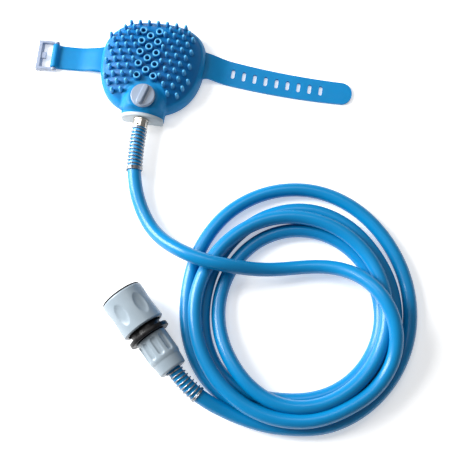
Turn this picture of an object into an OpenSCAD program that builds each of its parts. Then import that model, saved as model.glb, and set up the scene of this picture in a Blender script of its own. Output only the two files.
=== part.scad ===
// Handheld bath sprayer: palm-worn silicone washing pad with an on/off knob,
// a coiled garden-type hose and a click-on tap connector.
// Origin: centre of the flat palm face. +Y runs from the hose towards the far edge of the
// pad, +X runs along the long strap and +Z points out of the nubbed face.

/* [Pad] */
// Width of the pad along the straps, across its middle
pad_w = 90.5; // [88:0.5:96]
// Length of the pad from the neck side to the far edge
pad_l = 86; // [84:0.5:94]
// Height of the smooth dome above the palm face
dome_h = 25; // [24:0.5:27]
// Thickness of the silicone wall
skin_t = 2.7; // [2.4:0.1:3]
// Height of one washing nub
nub_h = 7.2; // [5:0.1:8]
// Radius of a nub where it leaves the dome
nub_r = 1.75; // [1.2:0.05:2]
// Distance between neighbouring nubs in a row
nub_pitch = 8; // [7.8:0.1:9]
// Distance between rows of nubs
nub_row_pitch = 6.6; // [6.4:0.1:7]
// Outer radius of a hollow spray nozzle
nozzle_r = 3.35; // [2.8:0.05:3.6]
// Radius of the water way in a spray nozzle
nozzle_bore_r = 1.6; // [1:0.1:1.8]
// Distance between nozzles in one column
nozzle_pitch = 10.8; // [9.5:0.1:11]

/* [Neck and knob] */
// Half width of the neck behind the pad
neck_r = 18.3; // [17.5:0.1:19]
// Height of the neck above the palm face
neck_h = 19; // [18.8:0.1:20]
// Height of the hose inlet above the palm face
inlet_z = 10.5; // [10:0.1:11]
// Radius of the knob disc
knob_r = 10.4; // [9.5:0.1:11]
// Turn of the knob away from the fully open line
knob_turn = 14; // [0:1:76]

/* [Straps] */
// Thickness of both straps
strap_t = 2.4; // [2:0.1:3]
// Distance from the origin to the rounded tip of the long strap
strap_tip_x = 176; // [150:1:190]
// Number of adjusting slots in the long strap
slot_count = 9; // [5:1:9]
// Distance between neighbouring slots
slot_pitch = 9.75; // [9:0.25:10]
// Distance from the origin to the buckle pin
pin_x = 87.5; // [80:0.5:95]

/* [Hose] */
// Outer diameter of the hose
hose_d = 11.5; // [10:0.1:11.5]

/* [Connector] */
// Outer diameter of the sliding sleeve
sleeve_d = 35.5; // [35:0.1:36]
// Travel of the sleeve when it is pulled back
sleeve_travel = 4.5; // [3:0.1:4.5]
// Radius of the socket that takes the tap nipple
socket_r = 8.75; // [8.5:0.01:8.8]
// Distance from the nut's small end to the rim of the socket
connector_len = 73.8; // [73.8:0.1:76]

/* [Hidden] */
$fn = 48;

// ---- colours -------------------------------------------------------------------------
silicone_c = [0.13, 0.50, 0.80];
hose_c = [0.12, 0.52, 0.80];
white_c = [0.92, 0.91, 0.88];
grey_c = [0.66, 0.71, 0.80];
black_c = [0.07, 0.07, 0.08];
steel_c = [0.78, 0.79, 0.80];
brass_c = [0.80, 0.66, 0.36];
rubber_c = [0.12, 0.12, 0.12];

// ---- derived sizes of the head -------------------------------------------------------
pad_a = pad_w / 2;
pad_b = pad_l / 2;
outline_power = 2.5;      // squareness of the pad outline
pad_turn = 3;             // turn of the pad in plan, against the neck
pad_taper = 0.09;         // how much wider the pad is at its far edge than in the middle
pad_skew = 0.045;         // how far the soft pad leans to one side, for each mm of length
dome_power = 0.75;        // fullness of the dome's side
skirt_h = 5;              // height of the upright edge
shell_r = 40.2;           // outer radius of both hard shells
shell_t = 2.2;            // wall of the spray shell
shell_gap = 0.2;          // room between hard shells and silicone
back_t = 2.6;             // thickness of the palm side shell
gasket_t = 0.8;           // thickness of the shell gasket
cavity_r = shell_r + shell_gap;
cavity_h = dome_h - skin_t;
valve_y = -35;            // position of the knob axis along Y
plug_r = 7.0;             // radius of the valve plug
stem_r = 4.0;             // radius of the valve stem
fit = 0.05;               // radial clearance of a turning fit
plug_z0 = 4.2;            // lower end of the plug
plug_z1 = 16.5;           // upper end of the plug
bonnet_z0 = 16.6;         // underside of the ring that holds the plug down
bonnet_z1 = 19.6;
bonnet_r = 8.5;
turret_r = 10.5;          // round top of the valve body
body_front = -24.5;       // front face of the valve body
boss_r = 14.5;            // silicone boss over it, under the knob
boss_draft = 3.5;         // how much wider the boss is at its foot
boss_top = 23.5;
knob_z0 = 24.5;
knob_z1 = 28.2;
grip_top = 31.5;
grip_l = 18.6;            // length and width of the bar across the knob
grip_w = 5.2;
seal_zs = [5.8, 15.2];    // heights of the two valve seals
seal_wire_r = 0.7;
neck_start = -20;         // front of the neck, inside the pad
neck_end = -47.5;         // rear face of the neck
inlet_seat = -43;         // bottom of the inlet thread in the valve body
arch_share = 0.5;         // rise of the neck's arch, as a share of its half width
cap_t = 3;                // thickness of the white end cap
cap_face = neck_end - cap_t;
floor_t = 2.4;            // silicone under the valve body
water_r = 2.6;            // water way through the valve

// ---- nozzles and nubs ----------------------------------------------------------------
field_x0 = -2.2;          // middle of the nub field and nozzle block along X
nozzle_y = 4.5;           // centre of the nozzle block along Y
nozzle_x = 7;             // distance of the outer columns from the middle one
nozzle_h = 4.6;           // height of a nozzle above the dome
nozzles = concat(
  [for (side = [-1, 1], k = [-2:2])
    [field_x0 + side * nozzle_x, nozzle_y + k * nozzle_pitch]],
  [for (k = [-1.5:1:1.5]) [field_x0, nozzle_y + k * nozzle_pitch]]
);
nub_rows = 11;
nub_tip_r = 0.95;
nub_top_y = 37.2;
block_half_w = 11.6;      // half width of the nozzle block that holds no nubs
block_top_y = 32;
nub_reach = 36.5;         // the outermost nubs, from the middle of the field
nub_edge = 0.95;          // and their share of the pad's outline
knob_room = 19.5;         // distance of the nearest nubs from the knob's axis
valve_in_pad = valve_y * [sin(pad_turn), cos(pad_turn)];
function nub_row_y(j) = nub_top_y - j * nub_row_pitch;
function nub_row_x(i, j) = field_x0 + (i + (j % 2 == 0 ? 0.5 : 0)) * nub_pitch;
function is_nub(p) =
  outline_norm(p) < nub_edge
  && abs(p[0] - field_x0) < nub_reach
  && (abs(p[0] - field_x0) > block_half_w || p[1] > block_top_y)
  && norm(p - valve_in_pad) > knob_room;
nubs = [
  for (j = [0:nub_rows - 1], i = [-6:6])
    let (p = [nub_row_x(i, j), nub_row_y(j)]) if (is_nub(p)) p
];

// How far out a point lies, 1 on the pad's widest outline
function untapered_x(p) = (p[0] - pad_skew * p[1]) / (1 + pad_taper * p[1] / pad_b);
function outline_norm(p) =
  pow(pow(abs(untapered_x(p)) / pad_a, outline_power)
      + pow(abs(p[1]) / pad_b, outline_power), 1 / outline_power);
// Height of the dome above a point
function dome_z(p) =
  skirt_h + (dome_h - skirt_h)
  * sqrt(max(0, 1 - pow(min(1, outline_norm(p)), 2 / dome_power)));
// Pad outline, scaled by s
function outline(s, steps = 56) = [
  for (i = [0:steps - 1])
    let (
      t = i * 360 / steps, c = cos(t), d = sin(t),
      x = s * pad_a * sign(c) * pow(abs(c), 2 / outline_power),
      y = s * pad_b * sign(d) * pow(abs(d), 2 / outline_power)
    )
    [x * (1 + pad_taper * y / pad_b) + pad_skew * y, y]
];
// Half profile of a round dome, from its edge to its top
function dome_profile(r, h) = [
  for (u = [0:9:90]) [r * pow(cos(u), dome_power), skirt_h + (h - skirt_h) * sin(u)]
];

// ---- straps --------------------------------------------------------------------------
strap_root_w = 23;        // width of the long strap beside the pad
strap_tip_w = 20;
strap_root_z = 4.4;       // underside of a strap where it leaves the pad
strap_drop_x = 68;        // from here on the straps lie on the ground
strap_start_x = 38;
short_w = 22;
short_angle = 3.5;        // turn of the short strap in plan
short_y = 4.75;           // where the short strap's middle line crosses the Y axis
pin_z = 3.2;
pin_r = 1.5;
loop_r = 3.2;
slot_w = 3;
slot_l = 8.7;
slot_last_x = 148.5;
function long_mid_y(x) = 4 + 7 * pow((x - 140) / 96, 2);
fillet_x = 51;            // a strap starts to widen here, towards the pad
fillet_w = 4;
function flare(x) = fillet_w * pow(min(1, max(0, (fillet_x - x) / 8)), 2);
function long_half_w(x) =
  (strap_root_w + (strap_tip_w - strap_root_w) * (x - 45) / 122) / 2;
function short_half_w(x) = short_w / 2 + flare(x) / 2;
function drop_z(x) =
  x >= strap_drop_x ? 0 :
  let (t = (x - 44) / (strap_drop_x - 44)) x < 44 ? strap_root_z :
  strap_root_z * (1 + cos(180 * t)) / 2;

// ---- buckle --------------------------------------------------------------------------
ear_r = 2.4;
frame_half_w = 13.7;
frame_bar = 2.2;          // width of the side bars
far_bar_x = 98.7;         // inner edge of the far bar
far_bar_w = 5.3;
far_bar_h = 5;
tab_l = 3.2;
pin_len = 27.8;

// ---- hose ----------------------------------------------------------------------------
hose_r = hose_d / 2;
bore_r = 3.15;            // water way of the hose
ferrule_len = 8.5;
ferrule_r = 6.7;
barb_len = 15;
barb_r = 3.1;             // barbs that hold the hose from inside
barb_root_r = 2.7;
barb_h = 2.4;
barb_step = 3.2;
thread_r = 4.9;           // thread of the inlet tail, drawn plain
// Route of the hose from the head to the coil, laid on the ground
lead_route = [
  [0, -51, 10.5], [0, -60, 10.5], [0.3, -71, 10.4], [1.1, -83, 10], [2.5, -96, 9.3],
  [5.5, -108, 8.2], [10, -120, 7.4], [16, -131, 7.2], [24, -142, 8.8], [33, -150.5, 13],
  [43, -157, 19], [54, -162.5, 25], [66, -166.5, 28.2], [79, -168.8, 28.4],
  [92, -169, 26.8], [105, -168, 22], [117, -166.5, 17], [129, -163.8, 13],
  [141, -160.6, 10.8], [153, -157, 10], [165, -154.6, 10.6], [176, -153.6, 12.6],
  [187, -155, 16.4], [197, -158.2, 20.8], [206, -163.2, 24.9], [214, -169.5, 27.6],
  [221, -177.3, 28.9], [227.2, -186.4, 28.6], [232, -196.8, 26.8]
];
// Route of the hose from the coil to the connector
tail_route = [
  [154.5, -286.2, 5.8], [144, -286.4, 5.8], [132, -285.2, 5.9], [120, -283, 6.8],
  [109, -280.2, 8.6], [98, -276.8, 11.4], [87.1, -272.1, 14.2], [79.1, -267.4, 16.2],
  [71.7, -262, 17.4], [65, -256, 17.75], [58, -249, 17.75], [51.2, -242.2, 17.75]
];
// The wound turns fill an oval ring
coil_mid = [155.2, -187.5];
coil_out = [96, 104.9];
hole_mid = [154.5, -194.5];
hole_in = [58, 64.4];
coil_top = 22;

// ---- connector -----------------------------------------------------------------------
connector_at = [65, -256, 17.75];   // small end of the nut, on the connector's axis
connector_turn = 135;               // heading of the socket in plan
hose_dir = [cos(connector_turn - 180), sin(connector_turn - 180), 0];
spring_inset = 2.4;                 // how far the tail spring reaches into the nut
nut_len = 32;
barb_z0 = 7;                        // first barb of the connector's body
flute_r = 2.3;                      // grooves along the nut
flute_len = 10.4;
flute_z = 16.6;
flange_z0 = 32;
flange_z1 = 35.5;
neck_z1 = 42;
core_r = 11.2;
sleeve_z0 = flange_z1 + sleeve_travel + 0.5;
sleeve_z1 = 72.5;
ledge_z0 = 54;
ledge_z1 = 60;
seat_z = 52;
jaw_z0 = 61.3;
jaw_z1 = 66.7;
jaw_w = 8;
slide_fit = 0.1;

// ======================================================================================
// Helpers
// ======================================================================================

// Block with straight sides and a shallow arched top, standing on z = 0
module arch_2d(w, h) {
  rise = arch_share * w;
  arch_r = (w * w + rise * rise) / (2 * rise);
  intersection() {
    translate([0, h - arch_r]) circle(arch_r, $fn = 96);
    translate([-w, 0]) square([2 * w, h]);
  }
}

// Arched block that runs along Y from y0 back to y1
module arch_block(w, h, y0, y1) {
  translate([0, y0, 0]) rotate([90, 0, 0]) linear_extrude(y0 - y1) arch_2d(w, h);
}

module at_valve() { translate([0, valve_y, 0]) children(); }

// A cylinder that points towards the hose, from y0 back to y1 at the inlet's height
module inlet_rod(r, y0, y1) {
  translate([0, y0, inlet_z]) rotate([90, 0, 0]) cylinder(h = y0 - y1, r = r);
}

module at_connector() {
  translate(connector_at) rotate([0, 90, connector_turn]) children();
}

module in_short_strap() { translate([0, short_y, 0]) rotate([0, 0, short_angle]) children(); }

// Unit vectors across a path direction: sideways in plan, and upwards
function unit(v) = v / norm(v);
function side_of(d) = unit(cross(d, [0, 0, 1]));
function up_of(d) = cross(side_of(d), unit(d));
// Direction of a path at its point i
function heading(path, i) =
  unit(path[min(i + 1, len(path) - 1)] - path[max(i - 1, 0)]);
function ring_at(c, d, r, sides) = [
  for (k = [0:sides - 1])
    let (a = (k + 0.5) * 360 / sides) c + r * (cos(a) * side_of(d) + sin(a) * up_of(d))
];

// Closed round tube along a path, one ring at every point
module sweep(path, r, sides) {
  rings = len(path);
  points = [for (i = [0:rings - 1]) each ring_at(path[i], heading(path, i), r, sides)];
  walls = [
    for (i = [0:rings - 2], k = [0:sides - 1])
      let (a = i * sides, b = (i + 1) * sides, m = (k + 1) % sides)
        each [[a + k, b + k, a + m], [a + m, b + k, b + m]]
  ];
  first = [for (k = [0:sides - 1]) k];
  last = [for (k = [sides - 1:-1:0]) (rings - 1) * sides + k];
  polyhedron(points = points, faces = concat(walls, [first, last]), convexity = 10);
}

// Middle line of a strain relief: straight out along u, bending off by b at length len
function bend_point(start, u, b, len, s) = start + u * s + b * pow(s / len, 2);
// Coil of wire round that line: open turns, then close turns at the end
function wire_length(turns, open_turns, len, wire, t) =
  t <= open_turns
    ? (len - (turns - open_turns) * wire) * t / open_turns
    : len - (turns - t) * wire;
function wire_path(start, u, b, len, r, turns, open_turns, wire, steps) = [
  for (i = [0:turns * steps])
    let (
      t = i / steps,
      s = wire_length(turns, open_turns, len, wire, t),
      c = bend_point(start, u, b, len, s),
      d = unit(u + b * (2 * s / (len * len)))
    )
    c + r * (cos(360 * t) * side_of(d) + sin(360 * t) * up_of(d))
];

// ======================================================================================
// Head
// ======================================================================================

module dome_body() {
  hull() {
    linear_extrude(0.01) polygon(outline(0.975));
    translate([0, 0, 2]) linear_extrude(0.01) polygon(outline(0.995));
    for (u = [0:11:88])
      translate([0, 0, skirt_h + (dome_h - skirt_h) * sin(u) - 0.01])
        linear_extrude(0.01) polygon(outline(pow(cos(u), dome_power)));
  }
}

module in_pad() { rotate([0, 0, pad_turn]) children(); }

module nub(p) {
  sink = 1.6;
  translate([p[0], p[1], dome_z(p) - sink]) hull() {
    cylinder(h = sink, r = nub_r, $fn = 8);
    translate([0, 0, nub_h + sink - nub_tip_r]) sphere(nub_tip_r, $fn = 6);
  }
}

// Raised seat round the knob, cut off flush with the rear of the neck
module boss() {
  intersection() {
    at_valve() cylinder(h = boss_top, r1 = boss_r + boss_draft, r2 = boss_r, $fn = 48);
    translate([-pad_a, neck_end, 0]) cube([pad_w, pad_l, 2 * boss_top]);
  }
}

module nozzle(p) {
  translate([p[0], p[1], dome_z(p) - 1.4]) cylinder(h = nozzle_h + 1.4, r = nozzle_r, $fn = 20);
}

module long_strap() {
  xs = [for (x = [strap_start_x:2:strap_tip_x - 10]) x];
  tip = [strap_tip_x - 10, long_mid_y(strap_tip_x - 10)];
  difference() {
    intersection() {
      rotate([90, 0, 0]) translate([0, 0, -40]) linear_extrude(80)
        polygon(concat(
          [for (x = xs) [x, drop_z(x)]], [[strap_tip_x + 1, 0], [strap_tip_x + 1, strap_t]],
          [for (i = [len(xs) - 1:-1:0]) [xs[i], drop_z(xs[i]) + strap_t]]));
      translate([0, 0, -1]) linear_extrude(12) {
        polygon(concat(
          [for (x = xs) [x, long_mid_y(x) - long_half_w(x) - flare(x)]],
          [for (i = [len(xs) - 1:-1:0]) [xs[i], long_mid_y(xs[i]) + long_half_w(xs[i])]]));
        translate(tip) circle(long_half_w(tip[0]), $fn = 40);
      }
    }
    for (i = [0:slot_count - 1])
      let (x = slot_last_x - i * slot_pitch)
        translate([x - slot_w / 2, long_mid_y(x) - slot_l / 2, -1]) cube([slot_w, slot_l, 12]);
  }
}

module short_strap() {
  xs = [for (x = [strap_start_x:2:pin_x]) x];
  in_short_strap() mirror([1, 0, 0]) difference() {
    union() {
      intersection() {
        rotate([90, 0, 0]) translate([0, 0, -40]) linear_extrude(80)
          polygon(concat(
            [for (x = xs) [x, drop_z(x)]],
            [for (i = [len(xs) - 1:-1:0]) [xs[i], drop_z(xs[i]) + strap_t]]));
        translate([0, 0, -1]) linear_extrude(12)
          polygon(concat(
            [for (x = xs) [x, -short_half_w(x)]],
            [for (i = [len(xs) - 1:-1:0]) [xs[i], short_half_w(xs[i])]]));
      }
      translate([pin_x, short_w / 2, pin_z]) rotate([90, 0, 0])
        cylinder(h = short_w, r = loop_r, $fn = 24);
    }
    translate([pin_x, short_w, pin_z]) rotate([90, 0, 0])
      cylinder(h = 2 * short_w, r = pin_r + 0.02, $fn = 24);
  }
}

module silicone_cover() {
  color(silicone_c) difference() {
    union() {
      arch_block(neck_r, neck_h, neck_start, neck_end);
      boss();
      in_pad() {
        dome_body();
        for (p = nubs) nub(p);
        for (p = nozzles) nozzle(p);
      }
      long_strap();
      short_strap();
    }
    // room for the hard shells
    rotate_extrude($fn = 64)
      polygon(concat([[0, -1], [cavity_r, -1]], dome_profile(cavity_r, cavity_h)));
    // room for the valve
    translate([0, 0, floor_t])
      arch_block(neck_r - skin_t, neck_h - skin_t - floor_t, body_front + 2.5, neck_end - 1);
    at_valve() {
      translate([0, 0, floor_t])
        cylinder(h = bonnet_z1 + shell_gap - floor_t, r = turret_r + shell_gap, $fn = 48);
      cylinder(h = 60, r = stem_r + 0.5, $fn = 32);
    }
    in_pad() for (p = nozzles)
      translate([p[0], p[1], 10]) cylinder(h = 60, r = nozzle_bore_r + 0.1, $fn = 16);
  }
}

screw_r = 33;             // distance of the shell screws from the middle
screw_post_h = 9.4;
screw_hole_r = 1.7;
screw_turns = [30, 90, 150, 210, 330];
module at_screws() {
  for (a = screw_turns) rotate([0, 0, a]) translate([screw_r, 0, 0]) children();
}

module back_shell() {
  color(grey_c) difference() {
    cylinder(h = back_t, r = shell_r, $fn = 96);
    at_screws() {
      translate([0, 0, -1]) cylinder(h = back_t + 2, r = screw_hole_r);
      translate([0, 0, -0.01]) cylinder(h = 1.7, r1 = 3.1, r2 = screw_hole_r);
    }
  }
}

// Part of the spray shell and gasket that is left open for the valve body
module valve_room() {
  half = neck_r - skin_t + shell_gap;
  translate([-half, body_front + 0.3 - 40, -1]) cube([2 * half, 40, 60]);
}

module shell_gasket() {
  color(rubber_c) difference() {
    translate([0, 0, back_t]) cylinder(h = gasket_t, r = shell_r - 0.1, $fn = 96);
    translate([0, 0, back_t - 1]) cylinder(h = gasket_t + 2, r = shell_r - 2.4, $fn = 96);
    valve_room();
  }
}

module spray_shell() {
  z0 = back_t + gasket_t;
  color(white_c) difference() {
    union() {
      difference() {
        rotate_extrude($fn = 96)
          polygon(concat([[0, z0], [shell_r, z0]],
                         dome_profile(shell_r, cavity_h - shell_gap)));
        rotate_extrude($fn = 96)
          polygon(concat([[0, z0 - 1], [shell_r - shell_t, z0 - 1]],
                         dome_profile(shell_r - shell_t, cavity_h - shell_gap - shell_t)));
      }
      at_screws() translate([0, 0, back_t]) cylinder(h = screw_post_h, r = 3);
    }
    at_screws() cylinder(h = screw_post_h + 1, r = 1.45);
    in_pad() for (p = nozzles)
      translate([p[0], p[1], 10]) cylinder(h = 20, r = nozzle_bore_r);
    valve_room();
  }
}

module shell_screws() {
  color(steel_c) at_screws() {
    translate([0, 0, 0.15]) cylinder(h = 9.6, r = 1.4);
    translate([0, 0, 0.1]) cylinder(h = 1.5, r1 = 2.95, r2 = 1.5);
  }
}

module valve_body() {
  z0 = back_t + 0.2;
  color(white_c) difference() {
    union() {
      translate([0, 0, z0])
        arch_block(neck_r - skin_t - shell_gap, neck_h - skin_t - z0 - shell_gap, body_front,
                   neck_end + 0.1);
      at_valve() translate([0, 0, z0]) cylinder(h = bonnet_z1 - z0, r = turret_r);
    }
    at_valve() {
      translate([0, 0, plug_z0 - 0.1]) cylinder(h = 40, r = plug_r + fit);
      translate([0, 0, bonnet_z0]) cylinder(h = 40, r = bonnet_r + 0.05);
    }
    inlet_rod(water_r, -20, neck_end + 1);
    inlet_rod(thread_r + fit, inlet_seat, neck_end - 1);
  }
}

module valve_plug() {
  color(brass_c) at_valve() difference() {
    union() {
      translate([0, 0, plug_z0]) cylinder(h = plug_z1 - plug_z0, r = plug_r);
      translate([0, 0, plug_z0]) cylinder(h = knob_z1 - plug_z0 - 0.5, r = stem_r);
    }
    // water way, turned with the knob
    rotate([0, 0, -knob_turn]) translate([0, 20, inlet_z]) rotate([90, 0, 0])
      cylinder(h = 40, r = water_r);
    for (z = seal_zs) valve_groove(z);
  }
}

module valve_groove(z) {
  translate([0, 0, z]) rotate_extrude()
    translate([plug_r - 2 * seal_wire_r, -seal_wire_r - 0.1])
      square([4, 2 * seal_wire_r + 0.2]);
}

module valve_seals() {
  color(rubber_c) at_valve() for (z = seal_zs)
    translate([0, 0, z]) rotate_extrude()
      translate([plug_r - seal_wire_r, 0]) circle(seal_wire_r, $fn = 24);
}

module valve_bonnet() {
  color(white_c) at_valve() difference() {
    translate([0, 0, bonnet_z0 + 0.01]) cylinder(h = bonnet_z1 - bonnet_z0 - 0.01, r = bonnet_r);
    cylinder(h = 40, r = stem_r + fit);
  }
}

module knob() {
  color([0.62, 0.67, 0.82]) at_valve() rotate([0, 0, -knob_turn]) difference() {
    union() {
      translate([0, 0, knob_z0]) cylinder(h = knob_z1 - knob_z0 - 1, r = knob_r, $fn = 72);
      translate([0, 0, knob_z1 - 1]) cylinder(h = 1, r1 = knob_r, r2 = knob_r - 1, $fn = 72);
      intersection() {
        translate([-grip_w / 2, -grip_l / 2, knob_z1 - 0.5])
          cube([grip_w, grip_l, grip_top - knob_z1 + 0.5]);
        translate([0, 0, knob_z1 - 0.5]) cylinder(h = 10, r = grip_l / 2);
      }
    }
    translate([0, 0, knob_z0 - 1]) cylinder(h = knob_z1 - knob_z0 + 0.6, r = stem_r + 0.01);
  }
}

module end_cap() {
  color(white_c) difference() {
    arch_block(neck_r - 0.2, neck_h + 0.4, neck_end, cap_face);
    inlet_rod(5.6, neck_end + 1, cap_face - 1);
  }
}

module inlet_gasket() {
  color(rubber_c) difference() {
    inlet_rod(thread_r, inlet_seat - 0.05, inlet_seat - 0.95);
    inlet_rod(2.4, inlet_seat + 1, inlet_seat - 2);
  }
}

module inlet_tail() {
  color(brass_c) difference() {
    union() {
      inlet_rod(thread_r, inlet_seat - 1, neck_end);
      inlet_rod(5.5, neck_end, cap_face - 0.5);
      inlet_rod(barb_root_r, cap_face - 0.5, cap_face - 0.5 - barb_len);
      for (k = [0:3])
        translate([0, cap_face - 3.5 - barb_step * k, inlet_z]) rotate([90, 0, 0])
          cylinder(h = barb_h, r1 = barb_r, r2 = barb_root_r);
    }
    inlet_rod(2, inlet_seat, cap_face - barb_len - 2);
  }
}

module head_ferrule() {
  color(steel_c) difference() {
    inlet_rod(ferrule_r, cap_face, cap_face - ferrule_len);
    inlet_rod(hose_r + 0.1, cap_face + 1, cap_face - ferrule_len - 1);
  }
}

wire_d = 1.05;
spring_gap = 0.25;
spring_r = hose_r + spring_gap + wire_d / 2;
module head_spring() {
  color(steel_c) sweep(
    wire_path([0, cap_face - ferrule_len - wire_d / 2 - 0.05, inlet_z], [0, -1, 0],
              [2.5, 0, -1.2], 37, spring_r, 14, 11, wire_d, 14),
    wire_d / 2, 6);
}

// ======================================================================================
// Buckle
// ======================================================================================

module at_pin() { in_short_strap() translate([-pin_x, 0, pin_z]) children(); }

module buckle_pin() {
  color(steel_c) at_pin() translate([0, pin_len / 2, 0]) rotate([90, 0, 0])
    cylinder(h = pin_len, r = pin_r);
}

module buckle_frame() {
  reach = far_bar_x - pin_x;
  color([0.85, 0.86, 0.88]) at_pin() difference() {
    union() {
      for (side = [-1, 1]) {
        y = side > 0 ? frame_half_w - frame_bar : -frame_half_w;
        translate([0, y + frame_bar, 0]) rotate([90, 0, 0]) cylinder(h = frame_bar, r = ear_r);
        translate([-reach - 1, y, -1.9]) cube([reach + 1, frame_bar, 3.8]);
      }
      translate([-reach - far_bar_w, -frame_half_w, -pin_z])
        cube([far_bar_w, 2 * frame_half_w, far_bar_h]);
      translate([-reach - 0.5, -3, -1]) cube([tab_l + 0.5, 6, 2]);
    }
    translate([0, 30, 0]) rotate([90, 0, 0]) cylinder(h = 60, r = pin_r + fit);
  }
}

// ======================================================================================
// Hose
// ======================================================================================

module hose_lead() {
  color(hose_c) difference() {
    sweep(lead_route, hose_r, 12);
    inlet_rod(bore_r, cap_face + 1, cap_face - barb_len - 1);
  }
}

module hose_coil() {
  color(hose_c) difference() {
    translate([coil_mid[0], coil_mid[1], 0]) scale([coil_out[0], coil_out[1], 1])
      cylinder(h = coil_top, r = 1, $fn = 96);
    translate([hole_mid[0], hole_mid[1], -1]) scale([hole_in[0], hole_in[1], 1])
      cylinder(h = coil_top + 2, r = 1, $fn = 96);
  }
}

module hose_tail() {
  color(hose_c) difference() {
    sweep(tail_route, hose_r, 12);
    at_connector() translate([0, 0, 6]) cylinder(h = 30, r = bore_r);
  }
}

module tail_spring() {
  color(steel_c) sweep(
    wire_path(connector_at - spring_inset * hose_dir, hose_dir, [3, 3, -3.6],
              27 + spring_inset, spring_r, 10, 8, wire_d, 14),
    wire_d / 2, 6);
}

// ======================================================================================
// Connector, drawn along Z from the nut's small end to the rim of the socket
// ======================================================================================

module connector_nut() {
  flutes = 10;
  color(grey_c) at_connector() difference() {
    rotate_extrude($fn = 72) polygon([
      [7.4, 0], [10.4, 0], [11, 0.8], [11.7, 10], [12.9, 11.6], [13, 12.4], [13, 31.2],
      [12.4, nut_len - 0.3], [10.1, nut_len - 0.3], [10.1, 14.8], [9.3, 14.8], [8.3, 6.4],
      [6.1, 6.4], [6.1, 5.2], [7.4, 5.2]
    ]);
    for (i = [0:flutes - 1]) rotate([0, 0, i * 360 / flutes]) translate([14, 0, flute_z]) {
      cylinder(h = flute_len, r = flute_r);
      sphere(flute_r);
      translate([0, 0, flute_len]) sphere(flute_r);
    }
  }
}

module grip_collet() {
  slits = 4;
  color(white_c) at_connector() difference() {
    rotate_extrude() polygon([[6.05, 6.8], [8, 6.8], [8.85, 14.2], [6.05, 14.2]]);
    for (i = [0:slits - 1]) rotate([0, 0, i * 360 / slits + 45])
      translate([0, -0.6, 9.5]) cube([12, 1.2, 12]);
  }
}

module connector_body() {
  color(black_c) at_connector() difference() {
    union() {
      cylinder_between(barb_root_r, barb_z0, 21);
      for (k = [0:3])
        translate([0, 0, barb_z0 + barb_step * k])
          cylinder(h = barb_h, r1 = barb_root_r, r2 = barb_r);
      translate([0, 0, 20]) cylinder(h = flange_z0 - 20, r = 10);
      translate([0, 0, flange_z0]) cylinder(h = flange_z1 - flange_z0, r = 17.25, $fn = 72);
      translate([0, 0, flange_z1]) cylinder(h = neck_z1 - flange_z1, r = 13);
      cylinder_between(core_r, neck_z1, connector_len);
    }
    cylinder_between(2, 0, 30);
    cylinder_between(4, 29, seat_z);
    cylinder_between(socket_r, seat_z, connector_len + 1);
    for (side = [0, 180]) rotate([0, 0, side])
      translate([6, -jaw_w / 2 - 0.2, jaw_z0 - 0.2]) cube([8, jaw_w + 0.4, jaw_z1 - jaw_z0 + 0.4]);
    // groove of the socket seal
    cylinder_between(socket_r + 0.8, seat_z, seat_z + 2.6);
  }
}

module cylinder_between(r, z0, z1) { translate([0, 0, z0]) cylinder(h = z1 - z0, r = r); }

module connector_seal() {
  color(rubber_c) at_connector() translate([0, 0, seat_z + 1.3]) rotate_extrude()
    translate([socket_r - 0.5, 0]) circle(1.25, $fn = 24);
}

module sleeve_spring() {
  color(steel_c) at_connector() rotate([90, 0, 0]) sweep(
    wire_path([0, ledge_z0 - 0.6, 0], [0, -1, 0], [0, 0, 0], ledge_z0 - neck_z1 - 1.2,
              12.2, 5, 4, 1, 16),
    0.45, 6);
}

module lock_jaw(side) {
  color(white_c) at_connector() rotate([0, 0, side]) intersection() {
    difference() {
      cylinder_between(12.3, jaw_z0, jaw_z1);
      cylinder_between(socket_r + 0.1, jaw_z0 - 1, jaw_z1 + 1);
    }
    translate([0, -jaw_w / 2, jaw_z0 - 1]) cube([20, jaw_w, 20]);
  }
}
module lock_jaw_upper() { lock_jaw(180); }
module lock_jaw_lower() { lock_jaw(0); }

module connector_sleeve() {
  r = sleeve_d / 2;
  dimples = 6;
  color(grey_c) at_connector() difference() {
    rotate_extrude($fn = 96) polygon([
      [14.6, sleeve_z0], [r - 1, sleeve_z0], [r, sleeve_z0 + 1], [r, sleeve_z1 - 1],
      [r - 1, sleeve_z1], [15, sleeve_z1], [15, 68], [12.6, ledge_z1],
      [core_r + slide_fit, ledge_z1], [core_r + slide_fit, ledge_z0], [14.6, ledge_z0]
    ]);
    for (i = [0:dimples - 1]) rotate([0, 0, i * 360 / dimples + 30])
      translate([r + 0.6, 0, (sleeve_z0 + sleeve_z1) / 2]) scale([0.36, 1, 1.6]) sphere(5);
  }
}

module retainer_ring() {
  color(black_c) at_connector() difference() {
    cylinder_between(sleeve_d / 2 - 0.6, sleeve_z1 + 0.1, connector_len);
    cylinder_between(core_r + 0.02, sleeve_z1 - 1, connector_len + 1);
  }
}

silicone_cover();
back_shell();
spray_shell();
shell_gasket();
shell_screws();
valve_body();
valve_plug();
valve_seals();
valve_bonnet();
knob();
end_cap();
inlet_gasket();
inlet_tail();
head_ferrule();
head_spring();
buckle_pin();
buckle_frame();
hose_lead();
hose_coil();
hose_tail();
tail_spring();
connector_nut();
grip_collet();
connector_body();
connector_seal();
sleeve_spring();
lock_jaw_upper();
lock_jaw_lower();
connector_sleeve();
retainer_ring();
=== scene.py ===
"""Looks of the handheld bath sprayer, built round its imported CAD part. Sizes are in millimetres
until a mesh is made, in the CAD frame."""

import math

import bpy
import numpy as np
from mathutils import Matrix, Vector


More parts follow.
